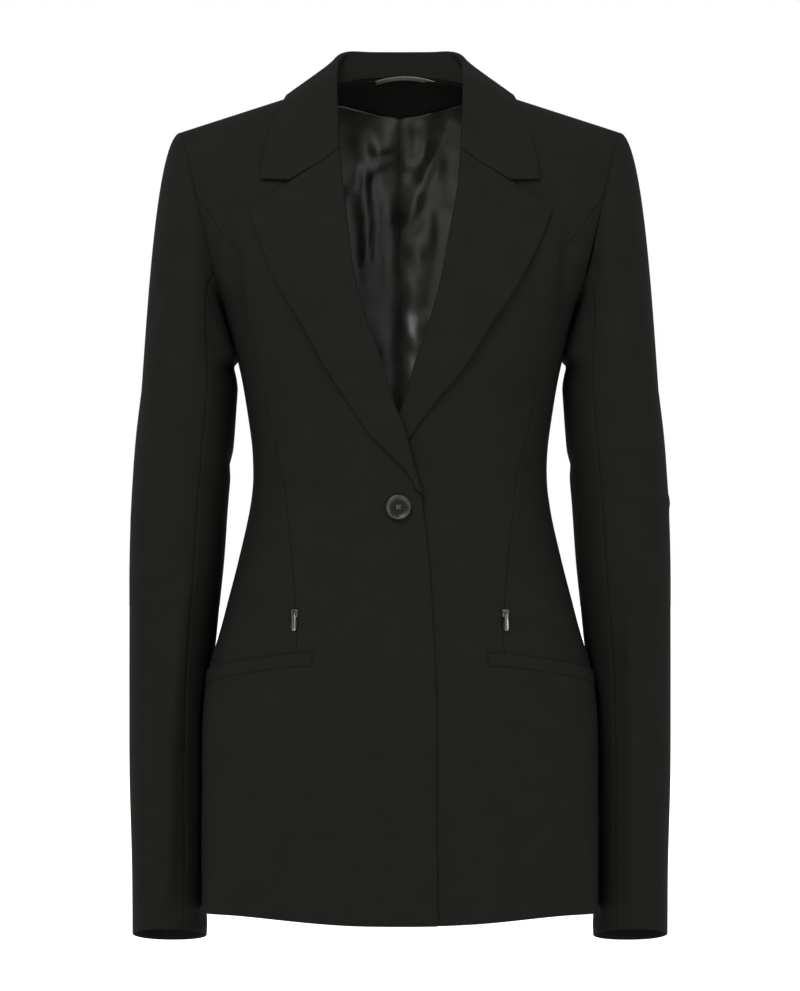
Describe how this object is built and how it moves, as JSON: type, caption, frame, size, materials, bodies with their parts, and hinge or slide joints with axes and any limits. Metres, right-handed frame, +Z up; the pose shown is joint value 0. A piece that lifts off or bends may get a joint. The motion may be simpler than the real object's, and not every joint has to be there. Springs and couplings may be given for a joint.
{
  "type": "single-breasted tailored jacket",
  "caption": "Fitted single-breasted tailored jacket with notched lapels, long sleeves, slanted welt pockets and zip pulls on the front seams, filled out with no wearer.",
  "frame": {"origin": "midway between the two neck points, where the shoulder seams meet the collar; the wearer's neck and shoulders hold the jacket there", "axes": "+Z up, the front faces -Y, the wearer's left side is +X"},
  "size_m": [0.4904, 0.2525, 0.8159],
  "materials": {
    "wool": "matt black fine worsted",
    "lining": "dark satin lining",
    "button": "polished dark horn",
    "zip_metal": "polished dark nickel"
  },
  "bodies": {
    "jacket": {"back_l": "wool", "back_r": "wool", "button": "button", "collar": "wool", "front_l": "wool", "front_r": "wool", "front_side_l": "wool", "front_side_r": "wool", "hanger_loop": "lining", "lapel_l": "wool", "lapel_r": "wool", "lining_back_l": "lining", "lining_back_r": "lining", "neck_facing": "wool", "sleeve_cap_l": "wool", "sleeve_cap_r": "wool", "sleeve_forearm_l": "wool", "sleeve_forearm_r": "wool", "sleeve_top_l": "wool", "sleeve_top_r": "wool", "sleeve_under_l": "wool", "sleeve_under_r": "wool", "welt_l": "wool", "welt_r": "wool", "zip_slider_l": "zip_metal", "zip_slider_r": "zip_metal"},
    "pull_r": {"zip_pull_r": "zip_metal"},
    "pull_l": {"zip_pull_l": "zip_metal"}
  },
  "joints": [
    {"name": "pull_r_swing", "type": "hinge", "parent": "jacket", "child": "pull_r", "pos_m": [-0.09221, -0.10397, -0.46606], "axis": [-0.94, 0.3413, 0], "range_deg": [0, 165]},
    {"name": "pull_l_swing", "type": "hinge", "parent": "jacket", "child": "pull_l", "pos_m": [0.09221, -0.10397, -0.46606], "axis": [-0.94, -0.3413, 0], "range_deg": [0, 165]}
  ]
}
